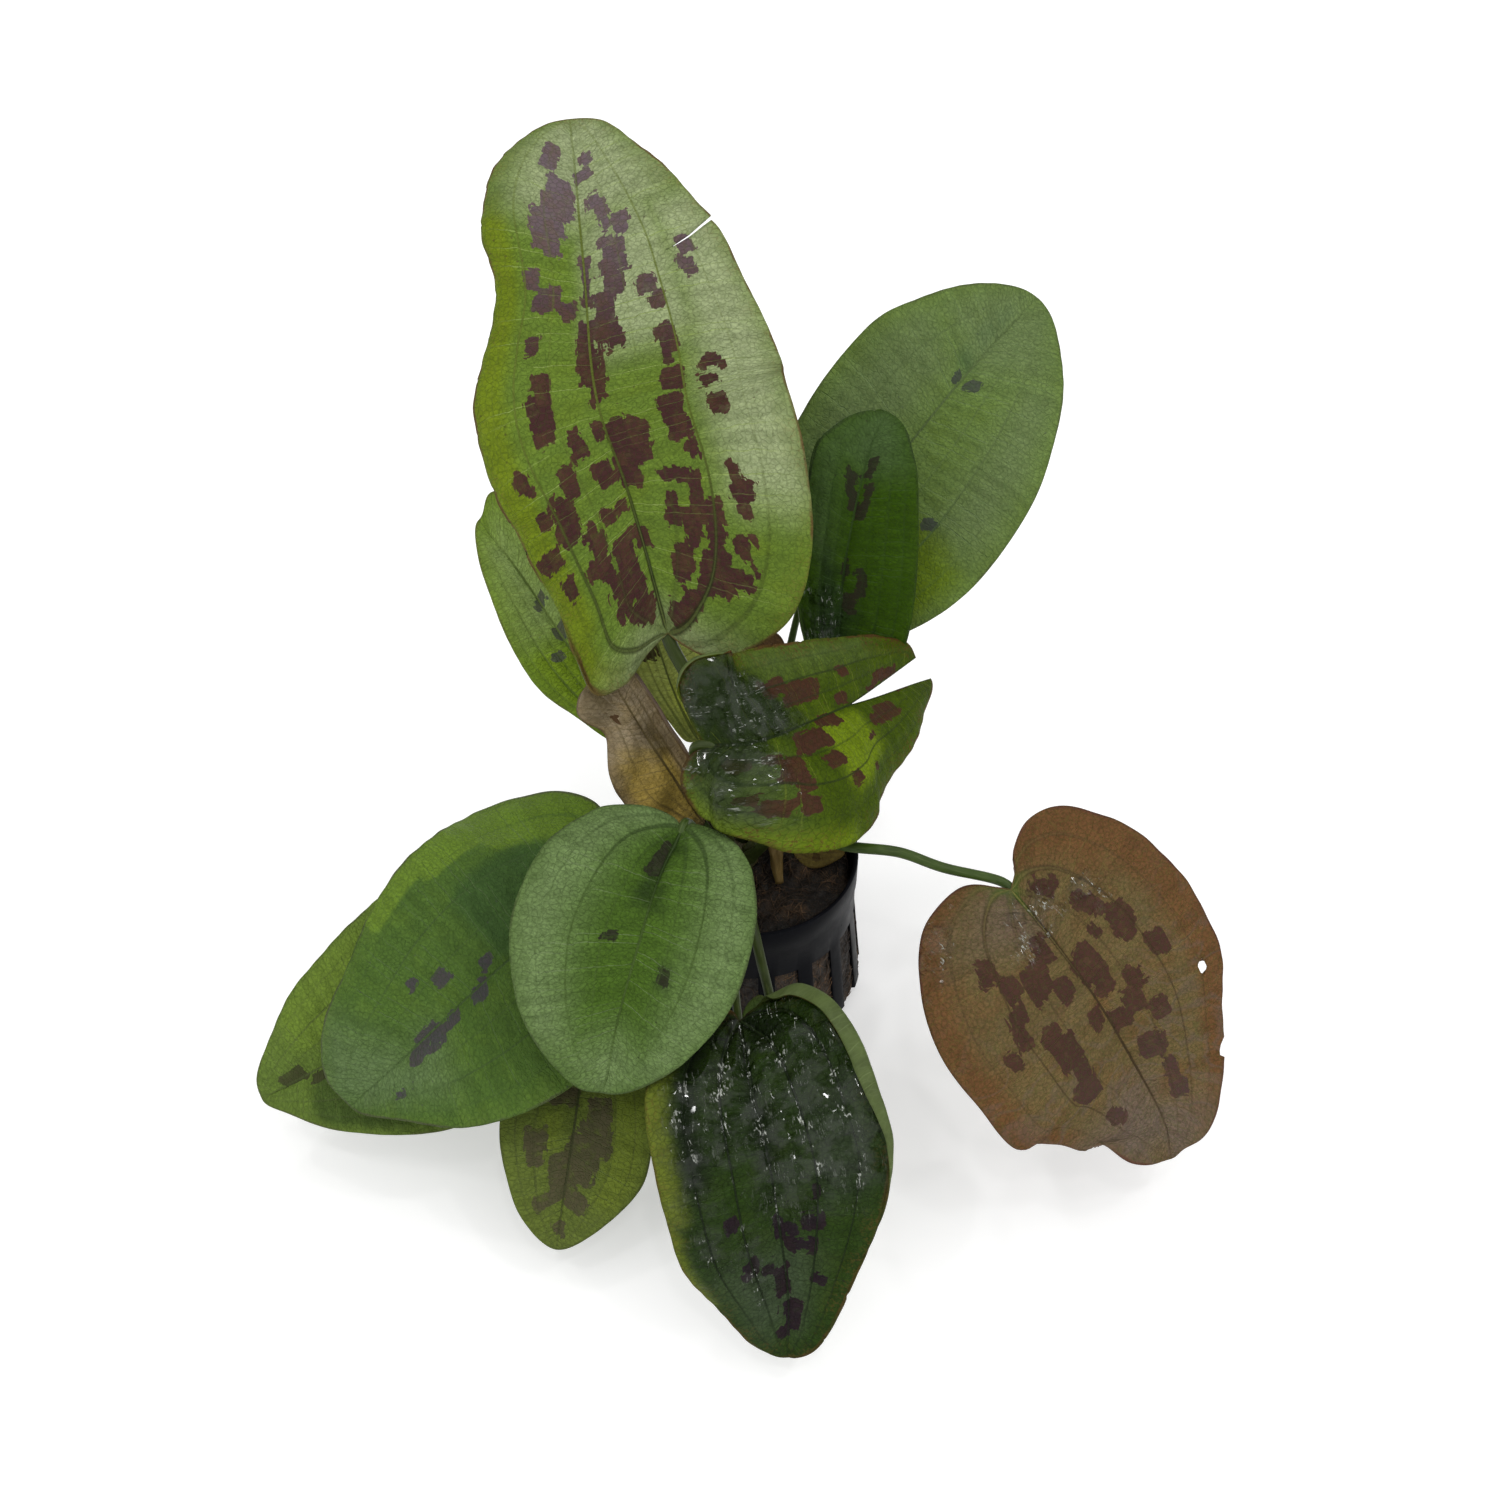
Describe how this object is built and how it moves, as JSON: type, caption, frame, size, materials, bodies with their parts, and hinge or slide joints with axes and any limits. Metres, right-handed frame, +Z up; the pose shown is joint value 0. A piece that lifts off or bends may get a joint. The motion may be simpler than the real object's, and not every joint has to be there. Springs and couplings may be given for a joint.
{
  "type": "echinodorus plant in a net pot",
  "caption": "Potted water plant with spreading oval mottled leaves on arching stalks, rooted in fibrous medium in a slotted net pot that rests on its flat base.",
  "frame": {"origin": "centre of the net pot's flat base, on the pot's axis", "axes": "+Z up along the pot's axis, -Y towards the side with the wet dark front leaf, +X towards the rust leaf on its long stalk"},
  "size_m": [0.2312, 0.2359, 0.1864],
  "materials": {
    "pot_plastic": "moulded dark plastic, satin",
    "medium": "matted coir fibre, rough and damp",
    "crown": "pale green rootstock, satin",
    "dead_leaf": "ochre withered tissue",
    "mottled_leaf": "yellow-green blade with dark purple-brown blotches, satin",
    "green_leaf": "green blade with fine pale veins, satin",
    "dark_leaf": "dark green blade, glossy where wet",
    "yellow_leaf": "yellow-green young blade, satin",
    "brown_leaf": "old brown blade, dull",
    "rust_leaf": "rust and olive blade with maroon blotches, satin",
    "stalk": "smooth green stalk, satin"
  },
  "bodies": {
    "root": {"net_pot": "pot_plastic", "growing_medium": "medium", "crown": "crown", "dead_stalk": "dead_leaf", "withered_leaf": "dead_leaf", "leaf_tall_back": "mottled_leaf", "leaf_split_tip": "mottled_leaf", "leaf_back_right": "green_leaf", "leaf_back_left": "green_leaf", "leaf_front_oval": "green_leaf", "leaf_left_middle": "green_leaf", "leaf_left_low": "green_leaf", "leaf_front_left": "green_leaf", "leaf_dark_upright": "dark_leaf", "leaf_wet_front": "dark_leaf", "leaf_front_low": "dark_leaf", "leaf_young_yellow": "yellow_leaf", "leaf_old_brown": "brown_leaf", "leaf_small_brown": "brown_leaf", "leaf_rust_right": "rust_leaf", "stalk_tall_back": "stalk", "stalk_split_tip": "stalk", "stalk_back_right": "stalk", "stalk_back_left": "stalk", "stalk_front_oval": "stalk", "stalk_left_middle": "stalk", "stalk_left_low": "stalk", "stalk_front_left": "stalk", "stalk_dark_upright": "stalk", "stalk_wet_front": "stalk", "stalk_front_low": "stalk", "stalk_young_yellow": "stalk", "stalk_old_brown": "stalk", "stalk_small_brown": "stalk", "stalk_rust_right": "stalk"}
  },
  "joints": []
}
